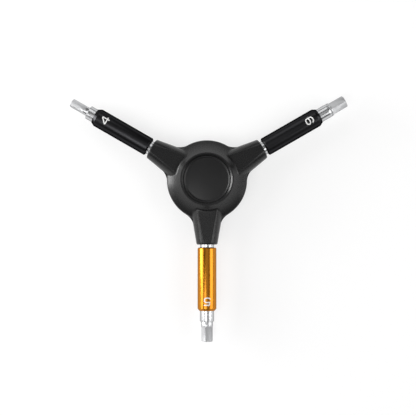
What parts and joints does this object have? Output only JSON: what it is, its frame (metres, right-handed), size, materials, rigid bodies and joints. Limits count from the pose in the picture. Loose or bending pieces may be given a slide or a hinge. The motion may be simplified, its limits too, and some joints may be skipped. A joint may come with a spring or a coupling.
{
  "type": "y wrench",
  "caption": "Y-shaped hex wrench: steel arms in a moulded hub, each with a spinning grip sleeve and a hexagonal bit.",
  "frame": {"origin": "on the hub's axis, in the plane of the rear crest ring that the tool lies on", "axes": "+Z along the hub's axis towards the front face, -Y along the 5 mm arm, +X towards the 6 mm arm's side"},
  "size_m": [0.1395, 0.1225, 0.018],
  "materials": {
    "hub_nylon": "fine moulded texture",
    "cap_plastic": "satin",
    "chromed_steel": "satin chrome",
    "black_anodised": "satin anodised",
    "gold_anodised": "polished anodised",
    "spring_wire": "drawn wire"
  },
  "bodies": {
    "handle": {"hub_body": "hub_nylon", "front_cap": "cap_plastic", "rear_cap": "cap_plastic", "shaft_4mm": "chromed_steel", "shaft_5mm": "chromed_steel", "shaft_6mm": "chromed_steel", "snap_ring_4mm": "spring_wire", "snap_ring_5mm": "spring_wire", "snap_ring_6mm": "spring_wire"},
    "spinner_4mm": {"sleeve_4mm": "black_anodised"},
    "spinner_5mm": {"sleeve_5mm": "gold_anodised"},
    "spinner_6mm": {"sleeve_6mm": "black_anodised"}
  },
  "joints": [
    {"name": "sleeve_4mm_spin", "type": "hinge", "parent": "handle", "child": "spinner_4mm", "pos_m": [0, 0, 0.009], "axis": [-0.866, 0.5, 0], "continuous": true},
    {"name": "sleeve_5mm_spin", "type": "hinge", "parent": "handle", "child": "spinner_5mm", "pos_m": [0, 0, 0.009], "axis": [0, -1, 0], "continuous": true},
    {"name": "sleeve_6mm_spin", "type": "hinge", "parent": "handle", "child": "spinner_6mm", "pos_m": [0, 0, 0.009], "axis": [0.866, 0.5, 0], "continuous": true}
  ]
}
